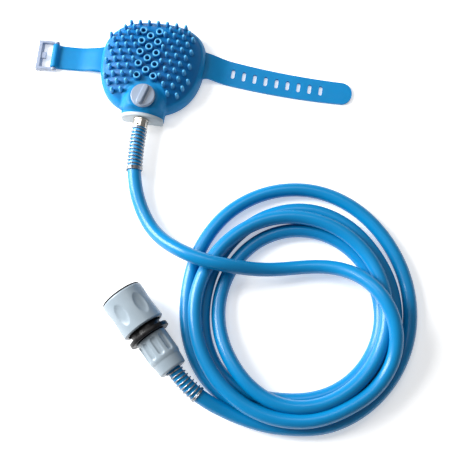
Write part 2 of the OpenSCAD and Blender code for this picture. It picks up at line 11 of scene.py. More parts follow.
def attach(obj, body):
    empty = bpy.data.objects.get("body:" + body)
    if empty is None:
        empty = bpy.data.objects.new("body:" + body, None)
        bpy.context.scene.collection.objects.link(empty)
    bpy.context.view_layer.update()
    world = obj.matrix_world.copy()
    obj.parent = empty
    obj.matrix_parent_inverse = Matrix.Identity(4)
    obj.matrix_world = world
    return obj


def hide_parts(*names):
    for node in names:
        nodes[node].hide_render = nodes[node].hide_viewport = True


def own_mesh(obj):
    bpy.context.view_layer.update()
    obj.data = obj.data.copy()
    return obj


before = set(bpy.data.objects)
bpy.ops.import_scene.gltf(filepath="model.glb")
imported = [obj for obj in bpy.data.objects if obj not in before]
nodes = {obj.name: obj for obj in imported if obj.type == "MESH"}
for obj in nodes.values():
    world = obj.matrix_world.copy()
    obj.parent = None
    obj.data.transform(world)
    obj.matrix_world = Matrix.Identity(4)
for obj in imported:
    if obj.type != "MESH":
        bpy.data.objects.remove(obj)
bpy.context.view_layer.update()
MM = 0.001
scene = bpy.context.scene

# ---- camera ---------------------------------------------------------------------------
AZIMUTH, ELEVATION, DISTANCE = math.radians(9.1), math.radians(74.5), 0.72
TARGET = Vector((0.0862, -0.1296, 0.0))
LENS_MM = 68.3
back = Vector((math.sin(AZIMUTH) * math.cos(ELEVATION),
               -math.cos(AZIMUTH) * math.cos(ELEVATION), math.sin(ELEVATION)))
camera_data = bpy.data.cameras.new("camera")
camera_data.lens = LENS_MM
camera_data.clip_start = 0.01
camera = bpy.data.objects.new("camera", camera_data)
scene.collection.objects.link(camera)
camera.location = TARGET + DISTANCE * back
camera.rotation_euler = (-back).to_track_quat("-Z", "Y").to_euler()
scene.camera = camera


# ---- materials ------------------------------------------------------------------------
def srgb(r, g, b):
    """Linear colour of an 8-bit screen colour."""
    return tuple(((c / 255 + 0.055) / 1.055) ** 2.4 if c > 10 else c / 255 / 12.92
                 for c in (r, g, b))


def shade(colour, factor):
    """Colour with its brightness multiplied, as RGBA."""
    return tuple(min(1.0, c * factor) for c in colour) + (1.0,)


NOISE_LOW, NOISE_HIGH = 0.3, 0.7        # the span that most of a noise texture lies in


class Look:
    """A procedural material: colour, roughness and surface each vary at their own scale."""

    def __init__(self, name, **shader):
        self.material = bpy.data.materials.new(name)
        self.material.use_nodes = True
        self.tree = self.material.node_tree
        self.bsdf = self.tree.nodes["Principled BSDF"]
        for socket, value in shader.items():
            self.bsdf.inputs[socket.replace("_", " ")].default_value = value
        self.height = None

    def node(self, kind, **values):
        n = self.tree.nodes.new(kind)
        for key, value in values.items():
            socket = key.replace("_", " ")
            if socket in n.inputs:
                n.inputs[socket].default_value = value
            else:
                setattr(n, key, value)
        return n

    def link(self, a, b):
        self.tree.links.new(a, b)

    def place(self, stretch=(1, 1, 1), uv=False):
        coord = self.node("ShaderNodeTexCoord")
        mapping = self.node("ShaderNodeMapping", Scale=stretch)
        self.link(coord.outputs["UV" if uv else "Object"], mapping.inputs["Vector"])
        return mapping.outputs["Vector"]

    def noise(self, scale, detail=3.0, stretch=(1, 1, 1), uv=False):
        n = self.node("ShaderNodeTexNoise", Scale=scale, Detail=detail)
        self.link(self.place(stretch, uv), n.inputs["Vector"])
        return n.outputs["Fac"]

    def ramp(self, fac, stops):
        n = self.node("ShaderNodeValToRGB")
        elements = n.color_ramp.elements
        while len(elements) < len(stops):
            elements.new(0.5)
        for element, (position, colour) in zip(elements, stops):
            element.position = position
            element.color = colour
        self.link(fac, n.inputs["Fac"])
        return n.outputs["Color"]

    def colour(self, base, spread, scale, **noise):
        fac = self.noise(scale, **noise)
        out = self.ramp(fac, [(NOISE_LOW, shade(base, 1 - spread)),
                              (NOISE_HIGH, shade(base, 1 + spread))])
        self.link(out, self.bsdf.inputs["Base Color"])
        return self

    def roughness(self, low, high, scale, **noise):
        n = self.node("ShaderNodeMapRange", To_Min=low, To_Max=high, From_Min=NOISE_LOW,
                      From_Max=NOISE_HIGH)
        self.link(self.noise(scale, **noise), n.inputs["Value"])
        self.link(n.outputs["Result"], self.bsdf.inputs["Roughness"])
        return self

    def paint_light_or_shade(self, axis, tint, most):
        """Mixes in painted light or shade where the mesh's UV is high: a painted highlight on nub
        tips and nozzle lips, painted shade over the sunken field.
        """
        here = self.bsdf.inputs["Base Color"].links[0].from_socket
        split = self.node("ShaderNodeSeparateXYZ")
        self.link(self.place(uv=True), split.inputs["Vector"])
        share = self.node("ShaderNodeMapRange", To_Max=most)
        self.link(split.outputs[axis], share.inputs["Value"])
        mix = self.node("ShaderNodeMixRGB", Color2=shade(tint, 1))
        self.link(share.outputs["Result"], mix.inputs["Fac"])
        self.link(here, mix.inputs["Color1"])
        self.link(mix.outputs["Color"], self.bsdf.inputs["Base Color"])
        return self

    def bump(self, fac, depth_mm):
        """Adds fine relief on top of the relief so far."""
        n = self.node("ShaderNodeBump", Strength=1.0, Distance=depth_mm * MM)
        self.link(fac, n.inputs["Height"])
        if self.height is not None:
            self.link(self.height, n.inputs["Normal"])
        self.height = n.outputs["Normal"]
        self.link(self.height, self.bsdf.inputs["Normal"])
        return self


BLUE = srgb(0, 125, 184)
HOSE_BLUE = srgb(0, 126, 184)

silicone = Look("silicone", Subsurface_Weight=0.18, Subsurface_Radius=(0.25, 0.7, 1.0),
                Subsurface_Scale=0.0022, Specular_IOR_Level=0.22)
silicone.colour(BLUE, 0.07, 45).roughness(0.42, 0.58, 130)
# painted shade: deeper blue over the sunken field, its nubs and nozzles (UV Y); painted highlight:
# pale cyan on nub tips and nozzle lips (UV X)
silicone.paint_light_or_shade("Y", srgb(0, 76, 142), 0.55).paint_light_or_shade("X", srgb(104, 194, 238), 0.6)
silicone.bump(silicone.noise(2600, 2), 0.012).bump(silicone.noise(220, 3), 0.05)

hose_look = Look("hose_pvc", Coat_Weight=0.22, Coat_Roughness=0.12, Specular_IOR_Level=0.3,
                 Subsurface_Weight=0.06, Subsurface_Radius=(0.2, 0.6, 1.0),
                 Subsurface_Scale=0.0015)
hose_look.colour(HOSE_BLUE, 0.06, 30).roughness(0.26, 0.4, 6, stretch=(14, 9, 1), uv=True)
hose_look.bump(hose_look.noise(5, 3, (6, 16, 1), True), 0.03)
hose_look.bump(hose_look.noise(900, 2), 0.006)

white_plastic = Look("white_plastic", Specular_IOR_Level=0.45, Subsurface_Weight=0.08,
                     Subsurface_Radius=(1, 0.95, 0.85), Subsurface_Scale=0.0015)
white_plastic.colour(srgb(176, 186, 192), 0.03, 60).roughness(0.3, 0.42, 150)
white_plastic.bump(white_plastic.noise(1800, 2), 0.008)

knob_plastic = Look("knob_plastic", Specular_IOR_Level=0.5)
knob_plastic.colour(srgb(134, 148, 168), 0.04, 80).roughness(0.28, 0.4, 200)
knob_plastic.bump(knob_plastic.noise(1800, 2), 0.01)

grey_plastic = Look("grey_plastic", Specular_IOR_Level=0.5, Coat_Weight=0.15,
                    Coat_Roughness=0.3)
grey_plastic.colour(srgb(144, 158, 168), 0.035, 60).roughness(0.3, 0.44, 170)
grey_plastic.bump(grey_plastic.noise(1500, 3), 0.014).bump(grey_plastic.noise(160, 2), 0.03)

black_plastic = Look("black_plastic", Specular_IOR_Level=0.3)
black_plastic.colour(srgb(13, 12, 14), 0.2, 90).roughness(0.3, 0.46, 200)
black_plastic.bump(black_plastic.noise(1500, 2), 0.01)

buckle_plastic = Look("buckle_plastic", Transmission_Weight=0.12, IOR=1.46,
                      Specular_IOR_Level=0.5)
buckle_plastic.colour(srgb(152, 164, 188), 0.03, 120).roughness(0.16, 0.3, 240)
buckle_plastic.bump(buckle_plastic.noise(900, 2), 0.01)

steel = Look("steel", Metallic=1.0)
steel.colour(srgb(164, 166, 170), 0.08, 200).roughness(0.22, 0.38, 400)
steel.bump(steel.noise(1600, 3), 0.006)

nickel = Look("nickel", Metallic=1.0)
nickel.colour(srgb(206, 200, 190), 0.05, 120).roughness(0.1, 0.22, 260)
nickel.bump(nickel.noise(900, 2), 0.006)

brass = Look("brass", Metallic=1.0)
brass.colour(srgb(208, 178, 106), 0.07, 160).roughness(0.22, 0.38, 260)
brass.bump(brass.noise(1400, 2), 0.008)

seal_rubber = Look("seal_rubber", Specular_IOR_Level=0.35)
seal_rubber.colour(srgb(30, 30, 32), 0.15, 200).roughness(0.5, 0.68, 300)
seal_rubber.bump(seal_rubber.noise(1400, 2), 0.012)

SLOT_LOOKS = {
    "silicone": silicone, "hose": hose_look, "white_plastic": white_plastic,
    "knob_plastic": knob_plastic, "grey_plastic": grey_plastic,
    "black_plastic": black_plastic, "buckle_plastic": buckle_plastic, "steel": steel,
    "nickel": nickel, "brass": brass, "seal_rubber": seal_rubber,
}


# ---- mesh helpers ---------------------------------------------------------------------
def piece(name, points, faces, slot, body, stands_for, place=None, crease=35, uv=None):
    """A mesh piece from points in millimetres that stands for a CAD node."""
    points = np.asarray(points, float) * MM
    mesh = bpy.data.meshes.new(name)
    mesh.from_pydata(points.tolist(), [], [list(map(int, f)) for f in faces])
    if uv is not None:
        layer = mesh.uv_layers.new(name="UVMap")
        index = np.empty(len(mesh.loops), np.int64)
        mesh.loops.foreach_get("vertex_index", index)
        layer.data.foreach_set("uv", np.asarray(uv, float)[index].ravel())
    if place is not None:
        mesh.transform(place)
    mesh.update()
    mesh.shade_smooth()
    mesh.set_sharp_from_angle(angle=math.radians(crease))
    mesh.materials.append(SLOT_LOOKS[slot].material)
    obj = bpy.data.objects.new(name, mesh)
    scene.collection.objects.link(obj)
    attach(obj, body)
    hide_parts(stands_for)
    return obj


def grid_faces(rows, cols, start=0, flip=False):
    """Quads between rows of points that each hold cols points and close on themselves."""
    faces = []
    for i in range(rows - 1):
        for k in range(cols):
            a, b = start + i * cols + k, start + i * cols + (k + 1) % cols
            quad = (a, b, b + cols, a + cols)
            faces.append(quad[::-1] if flip else quad)
    return faces


def end_faces(rows, cols):
    """The two faces that close the ends of a grid."""
    return [tuple(range(cols))[::-1], tuple(range((rows - 1) * cols, rows * cols))]


def moved_on(faces, start):
    """Faces for points that follow start other points."""
    return [tuple(start + i for i in face) for face in faces]


def lathe(profile, steps, radius=None):
    """Points and faces of a turned shape. profile holds (r, z), radius may change r by angle."""
    points = []
    for r, z in profile:
        for k in range(steps):
            a = 2 * math.pi * k / steps
            rr = r if radius is None else radius(r, z, a)
            points.append((rr * math.cos(a), rr * math.sin(a), z))
    return points, grid_faces(len(profile), steps)


MOST_OF_SIDE = 0.45                     # a rounded corner takes no more of a side than this


def rounded(profile, reach, steps=4):
    """A turned profile with its inner corners rounded over reach."""
    out = [profile[0]]
    for a, b, c in zip(profile, profile[1:], profile[2:]):
        a, b, c = (np.array(p, float) for p in (a, b, c))
        la, lc = np.linalg.norm(a - b), np.linalg.norm(c - b)
        d = min(reach, la * MOST_OF_SIDE, lc * MOST_OF_SIDE)
        p, q = b + (a - b) / la * d, b + (c - b) / lc * d
        for i in range(steps + 1):
            t = i / steps
            out.append(tuple((1 - t) ** 2 * p + 2 * t * (1 - t) * b + t * t * q))
    return out + [profile[-1]]


def frames(path):
    """Sideways and upward directions along a path, without twist."""
    path = np.asarray(path, float)
    d = np.gradient(path, axis=0)
    d /= np.linalg.norm(d, axis=1)[:, None]
    side = np.cross(d[0], (0, 0, 1.0))
    sides = []
    for t in d:
        side = side - t * side.dot(t)
        side /= np.linalg.norm(side)
        sides.append(side)
    sides = np.array(sides)
    return sides, np.cross(sides, d)


def tube(path, radius, steps):
    """Points, faces and UV (length, turn) of a round tube along a path."""
    path = np.asarray(path, float)
    side, up = frames(path)
    angle = np.arange(steps) * 2 * math.pi / steps
    ring = (np.cos(angle)[None, :, None] * side[:, None, :]
            + np.sin(angle)[None, :, None] * up[:, None, :])
    points = (path[:, None, :] + radius * ring).reshape(-1, 3)
    length = np.concatenate([[0], np.cumsum(np.linalg.norm(np.diff(path, axis=0), axis=1))])
    turn = 1 - np.abs(angle / math.pi - 1)
    uv = np.stack(np.broadcast_arrays(length[:, None] / 100, turn[None, :]), -1).reshape(-1, 2)
    return points, grid_faces(len(path), steps) + end_faces(len(path), steps), uv


def smooth_step(a, b, x):
    """0 at a, 1 at b, with soft ends."""
    t = np.clip((x - a) / (b - a), 0, 1)
    return t * t * (3 - 2 * t)


CURVE_STEP = 0.05


def smooth_path(control, spacing):
    """A Catmull-Rom curve through control points, resampled at even spacing."""
    p = np.asarray(control, float)
    p = np.vstack([2 * p[0] - p[1], p, 2 * p[-1] - p[-2]])
    out = []
    for i in range(1, len(p) - 2):
        a, b, c, d = p[i - 1], p[i], p[i + 1], p[i + 2]
        for t in np.arange(0, 1, CURVE_STEP):
            out.append(0.5 * (2 * b + (c - a) * t + (2 * a - 5 * b + 4 * c - d) * t ** 2
                              + (3 * b - a - 3 * c + d) * t ** 3))
    out.append(p[-2])
    out = np.array(out)
    s = np.concatenate([[0], np.cumsum(np.linalg.norm(np.diff(out, axis=0), axis=1))])
    at = np.linspace(0, s[-1], max(2, int(round(s[-1] / spacing)) + 1))
    return np.stack([np.interp(at, s, out[:, k]) for k in range(3)], 1)


# ---- the hose -------------------------------------------------------------------------
HOSE_R = 5.75
HOSE_STEPS, ROUTE_SPACING, FLOOR_GAP = 28, 3.0, 0.05
# Centreline of the hose from the head to the coil, and from the coil to the connector
LEAD = [
    (0, -51, 10.5), (0, -60, 10.5), (0.3, -71, 10.4), (1.1, -83, 10), (2.5, -96, 9.3),
    (5.5, -108, 8.2), (10, -120, 7.4), (16, -131, 7.2), (24, -142, 8.8), (33, -150.5, 13),
    (43, -157, 19), (54, -162.5, 25), (66, -166.5, 28.2), (79, -168.8, 28.4),
    (92, -169, 26.8), (105, -168, 22), (117, -166.5, 17), (129, -163.8, 13),
    (141, -160.6, 10.8), (153, -157, 10), (165, -154.6, 10.6), (176, -153.6, 12.6),
    (187, -155, 16.4), (197, -158.2, 20.8), (206, -163.2, 24.9), (214, -169.5, 27.6),
    (221, -177.3, 28.9), (227.2, -186.4, 28.6), (232, -196.8, 26.8),
]
TAIL = [
    (154.5, -286.2, 5.8), (144, -286.4, 5.8), (132, -285.2, 5.9), (120, -283, 6.8),
    (109, -280.2, 8.6), (98, -276.8, 11.4), (87.1, -272.1, 14.2), (79.1, -267.4, 16.2),
    (71.7, -262, 17.4), (65, -256, 17.75), (58, -249, 17.75), (51.2, -242.2, 17.75),
]
# The turns, from the tail's end of the coil: how far each lies outside the innermost track,
# and its height, at every eighth of a turn from the bottom of the coil
TURNS = [
    (21.5, 5.8), (24.6, 5.8), (28, 5.8), (29.8, 5.8), (35, 5.8), (34, 5.8), (26.3, 5.8),
    (23, 5.8),
    (11, 5.8), (13.1, 5.8), (16.4, 5.8), (15, 5.8), (17.7, 5.8), (14.4, 5.8), (12.2, 5.8),
    (11.7, 5.8),
    (0, 5.8), (2, 5.8), (4.9, 5.8), (2.5, 5.8), (0, 5.8), (0, 5.8), (0, 6.2), (0, 14.5),
    (5.6, 15.8), (7, 16), (7.8, 16.8), (7, 15.8), (7.8, 15.2), (13.2, 16.4), (18.5, 15.8),
    (17.4, 16),
    (16.4, 16), (18, 16),
]
TRACK_MID, TRACK_HALF = (154.5, -194.5), (63.8, 70.3)


def coil_points():
    """Centreline of the turns, at every sixteenth of a turn."""
    offsets = np.array(TURNS)
    eighths = np.arange(len(TURNS))
    at = np.arange(0.5, len(TURNS) - 1.4, 0.5)
    fine = smooth_path(np.column_stack([eighths, offsets]), 0.05)
    out = []
    for s in at:
        o = np.interp(s, fine[:, 0], fine[:, 1])
        z = np.interp(s, fine[:, 0], fine[:, 2])
        a = math.radians(-90 + 360 / 8 * s)
        out.append((TRACK_MID[0] + (TRACK_HALF[0] + o) * math.cos(a),
                    TRACK_MID[1] + (TRACK_HALF[1] + o) * math.sin(a), z))
    return out


EVEN_REACH, KEPT_ENDS, FREE_FROM = 7, 18, 30     # in points of the path


def relaxed(path):
    """The path with its bends evened out, except close to its two ends."""
    weights = np.hanning(2 * EVEN_REACH + 3)[1:-1]
    padded = np.vstack([path[:1]] * EVEN_REACH + [path] + [path[-1:]] * EVEN_REACH)
    even = np.stack([np.convolve(padded[:, k], weights / weights.sum(), "valid")
                     for k in range(3)], 1)
    ends = np.minimum(np.arange(len(path)), np.arange(len(path))[::-1])
    share = smooth_step(KEPT_ENDS, FREE_FROM, ends)[:, None]
    return path + share * (even - path)


# Where the lead comes down on the turns
JOIN = [(234.2, -207.3, 24), (234.4, -217.6, 21), (232.2, -228, 18.6), (228, -238, 17),
        (222.1, -247, 16.3), (214.5, -255.5, 16)]
route = relaxed(smooth_path(LEAD + JOIN + coil_points()[::-1] + TAIL, ROUTE_SPACING))
route[:, 2] = np.maximum(route[:, 2], HOSE_R + FLOOR_GAP)
points, faces, uv = tube(route, HOSE_R, HOSE_STEPS)
hose = piece("hose_run", points, faces, "hose", "root", "hose_lead", uv=uv, crease=60)
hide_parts("hose_lead", "hose_coil", "hose_tail")


# ---- strain relief springs ------------------------------------------------------------
WIRE_D, WIRE_SIDES, STEPS_PER_TURN = 1.05, 10, 32
SPRING_R = HOSE_R + 0.25 + WIRE_D / 2


def unit(v):
    v = np.asarray(v, float)
    return v / np.linalg.norm(v)


def wire_path(start, along, bend, length, r, turns, open_turns, close_pitch):
    """Centreline of a wound spring that starts along a direction and ends bend away from it.
    Its open turns come first, and the last turns lie close_pitch apart."""
    start, along, bend = (np.asarray(v, float) for v in (start, along, bend))
    out = []
    for i in range(int(turns * STEPS_PER_TURN) + 1):
        t = i / STEPS_PER_TURN
        if t <= open_turns:
            s = (length - (turns - open_turns) * close_pitch) * t / open_turns
        else:
            s = length - (turns - t) * close_pitch
        c = start + along * s + bend * (s / length) ** 2
        d = unit(along + bend * (2 * s / length ** 2))
        side = unit(np.cross(d, (0, 0, 1)))
        up = np.cross(side, d)
        a = 2 * math.pi * t
        out.append(c + r * (math.cos(a) * side + math.sin(a) * up))
    return out


def spring(name, node, wire, path):
    """A steel wire along a path, which is fixed to the root body."""
    points, faces, uv = tube(path, wire / 2, WIRE_SIDES)
    return piece(name, points, faces, "steel", "root", node, uv=uv, crease=60)


CAP_FACE, NECK_END, INLET_Z, FERRULE_LEN = -50.5, -47.5, 10.5, 8.5
HEAD_SPRING_Y = CAP_FACE - FERRULE_LEN - WIRE_D / 2 - 0.05
spring("relief_spring_head", "head_spring", WIRE_D,
       wire_path((0, HEAD_SPRING_Y, INLET_Z), (0, -1, 0), (2.5, 0, -1.2), length=37, r=SPRING_R,
                 turns=14, open_turns=11, close_pitch=WIRE_D))

NUT_AT = np.array((65, -256, 17.75))
AWAY = np.array((1, -1, 0)) / math.sqrt(2)      # from the connector to its hose
IN_NUT = 2.4
tail_spring = spring("relief_spring_tail", "tail_spring", WIRE_D,
                     wire_path(NUT_AT - IN_NUT * AWAY, AWAY, (3, 3, -3.6), length=29.4,
                               r=SPRING_R, turns=10, open_turns=8, close_pitch=WIRE_D))

# The sleeve's return spring stands on the neck's shoulder and shortens as the sleeve comes back
SHOULDER, RETURN_GAP, RETURN_LEN = 42, 0.6, 10.8
RETURN_START = SHOULDER + RETURN_GAP + RETURN_LEN
return_spring = spring("return_spring", "sleeve_spring", 0.9,
                       wire_path(NUT_AT - RETURN_START * AWAY, AWAY, (0, 0, 0),
                                 length=RETURN_LEN, r=12.2, turns=5, open_turns=4,
                                 close_pitch=1))
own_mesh(return_spring)


# ---- connector ------------------------------------------------------------------------
def axes(x, y, z, origin):
    """Matrix of a frame with these directions and this origin."""
    m = Matrix.Identity(4)
    for column, v in enumerate((x, y, z)):
        for row in range(3):
            m[row][column] = v[row]
    m.translation = Vector(origin) * MM
    return m


H = math.sqrt(0.5)
connector = axes((0, 0, -1), (-H, -H, 0), (-H, H, 0), NUT_AT)


def arc_from_nearest(a, count, r):
    """Distance along the rim from the nearest of count even places."""
    turn = (a * count / (2 * math.pi) + 0.5) % 1 - 0.5
    return turn * 2 * math.pi / count * r


FLUTES, FLUTE_DEPTH, FLUTE_HALF_W, FLUTE_END = 10, 1.15, 2.5, 2.4
FLUTE_Z0, FLUTE_Z1, FLUTE_INNER_R = 15.6, 26.6, 11.5


def flute(r, z, a):
    """Radius of the nut with rounded grooves along its axis."""
    across = arc_from_nearest(a, FLUTES, r) / FLUTE_HALF_W
    end = max(0.0, FLUTE_Z0 - z, z - FLUTE_Z1) / FLUTE_END
    d = math.hypot(across, end)
    return r if r < FLUTE_INNER_R or d >= 1 else r - FLUTE_DEPTH * (1 - d ** 4)


NUT_R = 13
nut_profile = rounded([(7.4, 5.2), (7.4, 0), (10.3, 0), (11.4, 0.9), (12.1, 9.4), (12.5, 10.4),
                       (NUT_R, 12.2)], 0.7)
nut_profile += [(NUT_R, z) for z in np.linspace(13, 30.6, 45)]
nut_profile += rounded([(NUT_R, 30.7), (NUT_R, 31.3), (12.3, 31.7), (10.1, 31.7), (10.1, 14.8)],
                       0.4)
points, faces = lathe(nut_profile, 180, flute)
nut = piece("hose_nut", points, faces, "grey_plastic", "nut", "connector_nut", connector)


DIMPLES, FIRST_DIMPLE, DIMPLE_DEPTH, DIMPLE_HALF_W, DIMPLE_HALF_L = 6, 30, 1.25, 4.9, 9.4
DIMPLE_MID_Z, DIMPLE_INNER_R = 56.2, 17


def dimple(r, z, a):
    """Radius of the sleeve with its oval finger dimples."""
    across = arc_from_nearest(a - math.radians(FIRST_DIMPLE), DIMPLES, r) / DIMPLE_HALF_W
    along = (z - DIMPLE_MID_Z) / DIMPLE_HALF_L
    d = math.hypot(across, along)
    return r if r < DIMPLE_INNER_R or d >= 1 else r - DIMPLE_DEPTH * (1 - d ** 3)


SLEEVE_R = 17.75
sleeve_profile = rounded([(14.6, 54), (14.6, 40.5), (16.6, 40.5), (SLEEVE_R, 41.6)], 0.6)
sleeve_profile += [(SLEEVE_R, z) for z in np.linspace(42.2, 71, 62)]
sleeve_profile += rounded([(SLEEVE_R, 71.4), (17.4, 72.3), (16.6, 72.5), (15, 72.5), (15, 68),
                           (12.6, 60), (11.3, 60), (11.3, 54), (14.6, 54)], 0.5)
points, faces = lathe(sleeve_profile, 216, dimple)
sleeve = piece("tap_sleeve", points, faces, "grey_plastic", "sleeve", "connector_sleeve",
               connector)

ring_profile = rounded([(11.23, 73.2), (11.23, 72.65), (16.6, 72.65), (17.1, 73), (17.1, 73.5),
                        (16.6, 73.8), (11.23, 73.8), (11.23, 73.2)], 0.35)
points, faces = lathe(ring_profile, 96)
rim = piece("rim_ring", points, faces, "black_plastic", "root", "retainer_ring", connector)


# ---- head: silicone cover -------------------------------------------------------------
PAD_A, PAD_B, POWER, FULL = 45.25, 43.0, 2.5, 2 / 0.75
PAD_TURN, PAD_TAPER, PAD_SKEW = math.radians(3), 0.09, 0.045
SKIRT_H, DOME_H = 5.0, 25.0
NECK_W, NECK_H, NECK_START = 18.3, 19.0, -18
ARCH_R = (NECK_W ** 2 + (0.5 * NECK_W) ** 2) / NECK_W
VALVE_Y, BOSS_H, BOSS_FLAT_R, BOSS_EDGE, BOSS_DROP = -35.0, 23.5, 11.5, 6.5, 7
BOSS_END_DROP, BOSS_END_Y = 4.2, -43
RECESS, FIELD_EDGE, FIELD_END, KNOB_RIM, KNOB_RIM_END = 0.8, 0.9, 0.95, 18.2, 20.4
NECK_FILLET, BOSS_FILLET, SIDE_FILLET = 2.5, 2.0, 2.2
CAVITY_R = 40.4
ABSENT = -20                            # height of a form where it has none


def turned(x, y, angle):
    c, s = math.cos(angle), math.sin(angle)
    return c * x - s * y, s * x + c * y


def outline_norm(x, y):
    """1 on the pad's outline, less inside: a rounded square, tapered, skewed and turned."""
    x, y = turned(x, y, -PAD_TURN)
    x = (x - PAD_SKEW * y) / (1 + PAD_TAPER * y / PAD_B)
    return ((np.abs(x) / PAD_A) ** POWER + (np.abs(y) / PAD_B) ** POWER) ** (1 / POWER)


def smooth_max(a, b, k):
    """The greater of two heights, with a fillet of reach k where they meet."""
    h = np.clip(k - np.abs(a - b), 0, None) / k
    return np.maximum(a, b) + h * h * k / 4


def arch(x):
    """Height of the neck's arched top."""
    inside = np.minimum(np.abs(x), NECK_W)
    return NECK_H - ARCH_R + np.sqrt(np.maximum(ARCH_R ** 2 - inside ** 2, 0))


def field_share(n, d):
    """1 in the sunken field that holds the nubs, 0 on the rim and round the knob."""
    return (1 - smooth_step(FIELD_EDGE, FIELD_END, n)) * smooth_step(KNOB_RIM, KNOB_RIM_END, d)


def cover_height(x, y):
    """Height of the cover's outer face: dome, neck and boss run into each other."""
    n = outline_norm(x, y)
    rise = np.sqrt(np.maximum(0, 1 - n ** FULL))
    dome = np.where(n <= 1.001, SKIRT_H + (DOME_H - SKIRT_H) * rise, ABSENT)
    beside = np.maximum(0, np.abs(x) - NECK_W)
    neck = np.where(y < NECK_START, arch(x) - 6 * beside, ABSENT)
    d = np.hypot(x, y - VALVE_Y)
    boss = BOSS_H - BOSS_DROP * (np.maximum(0, d - BOSS_FLAT_R) / BOSS_EDGE) ** 2
    boss = boss - BOSS_END_DROP * smooth_step(BOSS_END_Y, NECK_END, y)
    z = smooth_max(smooth_max(dome, neck, NECK_FILLET), boss, BOSS_FILLET)
    return z - RECESS * field_share(n, d)


def boundary(t):
    """Distance of the cover's edge from the middle in direction t, with a fillet at the neck."""
    c, s = np.cos(t), np.sin(t)
    pad = np.full_like(c, 40.0)         # a first guess, which each round below brings nearer
    for _ in range(12):
        pad = pad / outline_norm(pad * c, pad * s)
    side = NECK_W / np.maximum(np.abs(c), 1e-6)
    end = -NECK_END / np.maximum(-s, 1e-6)
    neck = np.where(s < 0, np.minimum(side, end), 0)
    return np.minimum(smooth_max(pad, neck, SIDE_FILLET), np.where(s < 0, end, np.inf))


corner = math.atan2(NECK_END, NECK_W)
turns = np.concatenate([np.linspace(-math.pi, math.pi, 400, endpoint=False),
                        [corner, -math.pi - corner]])
turns = np.array(sorted(set(np.round(turns, 9))))
steps = len(turns)
shares = np.concatenate([np.linspace(0.02, 0.84, 44), np.linspace(0.85, 0.94, 14),
                         1 - 0.06 * np.cos(np.linspace(0.12, 1, 11) * math.pi / 2)])
edge = boundary(turns)
outer_x, outer_y = edge * np.cos(turns), edge * np.sin(turns)
# Rows of points: over the top, down the skirt, round the rim's foot and into the cavity
FOOT_H = 0.7
rows = [np.stack([s * outer_x, s * outer_y, cover_height(s * outer_x, s * outer_y)], 1)
        for s in shares]
top_z = rows[-1][:, 2]
for share in (0.75, 0.5, 0.3):
    rows.append(np.stack([outer_x, outer_y, FOOT_H + (top_z - FOOT_H) * share], 1))
way_x, way_y = np.cos(turns), np.sin(turns)
for z, inset in ((FOOT_H, 0.0), (0.35, 0.1), (0.1, 0.35), (0.0, 0.7)):
    rows.append(np.column_stack([outer_x - inset * way_x, outer_y - inset * way_y,
                                 np.full(steps, z)]))
for r, z in ((CAVITY_R + 0.5, 0.0), (CAVITY_R + 0.1, 0.15), (CAVITY_R, 0.6), (CAVITY_R, 3.2)):
    rows.append(np.column_stack([r * way_x, r * way_y, np.full(steps, z)]))
cover_points = [np.array([[0, 0, float(cover_height(np.array(0.0), np.array(0.0)))]])] + rows
cover_faces = [(0, 1 + k, 1 + (k + 1) % steps) for k in range(steps)]
cover_faces += grid_faces(len(rows), steps, start=1, flip=True)
cover_points = np.vstack(cover_points)
# share of painted highlight at each point: none on the cover itself
tip_highlight = np.zeros(len(cover_points))
cover_x, cover_y, cover_z = cover_points.T
# painted shade: the sunken field is coloured deeper blue through UV Y
field_shade = field_share(outline_norm(cover_x, cover_y), np.hypot(cover_x, cover_y - VALVE_Y))
field_shade = np.where(cover_z > SKIRT_H, field_shade, 0)


def add_turned(points, faces, tip_highlight, profile, steps, at):
    """Adds a small turned shape that points straight up. Its profile holds (r, z, share of painted
    highlight).
    """
    p, f = lathe([q[:2] for q in profile], steps)
    return (np.vstack([points, np.asarray(p) + np.asarray(at)]),
            faces + moved_on(f, len(points)),
            np.concatenate([tip_highlight, np.repeat([q[2] for q in profile], steps)]))


# Nubs stand in a staggered lattice, beside and above the nozzles
FIELD_X0, NUB_PITCH, NUB_ROW, NUB_TOP, NUB_ROWS = -2.2, 8.0, 6.6, 37.2, 11
NUB_EDGE, NUB_REACH, BLOCK_HALF_W, BLOCK_TOP, KNOB_ROOM = 0.95, 36.5, 11.6, 32, 19.5
# the third figure of each point is its share of painted highlight, most at the tip
NUB = [(2.2, -0.5, 0), (1.88, 0.15, 0.1), (1.74, 0.9, 0.3), (1.66, 2.2, 0.55), (1.58, 3.8, 0.75),
       (1.5, 5.2, 0.9), (1.4, 6.0, 0.95), (1.18, 6.65, 1), (0.78, 7.08, 1), (0.34, 7.27, 1),
       (0.02, 7.3, 1)]


def nub_places():
    for j in range(NUB_ROWS):
        for i in range(-6, 7):
            across = (i + (0.5 if j % 2 == 0 else 0)) * NUB_PITCH
            along = NUB_TOP - j * NUB_ROW
            x, y = turned(FIELD_X0 + across, along, PAD_TURN)
            if (outline_norm(x, y) < NUB_EDGE and abs(across) < NUB_REACH
                    and (abs(across) > BLOCK_HALF_W or along > BLOCK_TOP)
                    and math.hypot(x, y - VALVE_Y) > KNOB_ROOM):
                yield x, y


